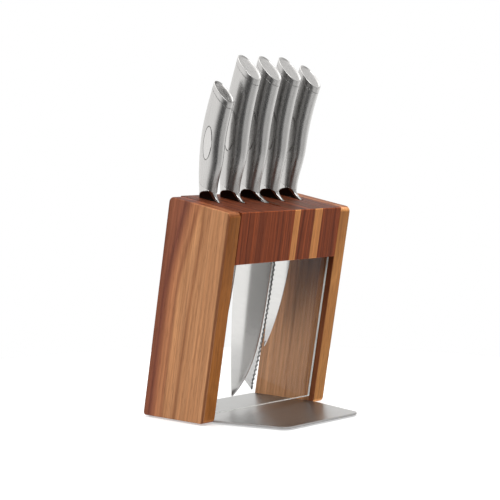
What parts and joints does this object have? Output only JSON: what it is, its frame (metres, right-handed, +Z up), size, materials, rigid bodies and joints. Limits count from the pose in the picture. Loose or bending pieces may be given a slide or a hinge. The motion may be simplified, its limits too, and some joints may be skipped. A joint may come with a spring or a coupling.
{
  "type": "knife block with knives",
  "caption": "Leaning wooden knife block with a slotted top, clear front panel and steel base plate, holding steel-handled kitchen knives that lift out.",
  "frame": {"origin": "centre of the footprint's bounding box, on the table under the rubber feet", "axes": "+Z up, +X to the right across the block, -Y towards the front, where the block leans and the plate reaches out"},
  "size_m": [0.177, 0.1562, 0.3489],
  "materials": {
    "side_panel_wood": "oiled acacia, long grain",
    "dark_stave_wood": "oiled dark heartwood",
    "pale_stave_wood": "oiled pale sapwood",
    "dowel_wood": "plain beech",
    "clear_sheet": "clear, polished edges",
    "plate_steel": "brushed",
    "screw_steel": "zinc plated",
    "foot_rubber": "matte",
    "blade_steel": "fine satin blade, polished bolster",
    "handle_steel": "brushed along the handle",
    "cap_steel": "brushed face, bright rim",
    "inlay_steel": "polished"
  },
  "bodies": {
    "block": {"left_side_panel": "side_panel_wood", "right_side_panel": "side_panel_wood", "wide_dark_stave": "dark_stave_wood", "middle_dark_stave": "dark_stave_wood", "right_dark_stave": "dark_stave_wood", "narrow_pale_stave": "pale_stave_wood", "wide_pale_stave": "pale_stave_wood", "block_dowels": "dowel_wood", "clear_front_panel": "clear_sheet", "base_plate": "plate_steel", "plate_screws": "screw_steel", "rubber_feet": "foot_rubber"},
    "paring_knife": {"paring_blade": "blade_steel", "paring_handle": "handle_steel", "paring_end_cap": "cap_steel", "paring_inlay": "inlay_steel"},
    "carving_knife": {"carving_blade": "blade_steel", "carving_handle": "handle_steel", "carving_end_cap": "cap_steel", "carving_inlay": "inlay_steel"},
    "chef_knife": {"chef_blade": "blade_steel", "chef_handle": "handle_steel", "chef_end_cap": "cap_steel", "chef_inlay": "inlay_steel"},
    "bread_knife": {"bread_blade": "blade_steel", "bread_handle": "handle_steel", "bread_end_cap": "cap_steel", "bread_inlay": "inlay_steel"},
    "utility_knife": {"utility_blade": "blade_steel", "utility_handle": "handle_steel", "utility_end_cap": "cap_steel", "utility_inlay": "inlay_steel"}
  },
  "joints": [
    {"name": "paring_knife_lift", "type": "slide", "parent": "block", "child": "paring_knife", "axis": [0, -0.1736, 0.9848], "range_m": [0, 0.104]},
    {"name": "carving_knife_lift", "type": "slide", "parent": "block", "child": "carving_knife", "axis": [0, -0.1736, 0.9848], "range_m": [0, 0.21]},
    {"name": "chef_knife_lift", "type": "slide", "parent": "block", "child": "chef_knife", "axis": [0, -0.1736, 0.9848], "range_m": [0, 0.212]},
    {"name": "bread_knife_lift", "type": "slide", "parent": "block", "child": "bread_knife", "axis": [0, -0.1736, 0.9848], "range_m": [0, 0.209]},
    {"name": "utility_knife_lift", "type": "slide", "parent": "block", "child": "utility_knife", "axis": [0, -0.1736, 0.9848], "range_m": [0, 0.17]}
  ]
}
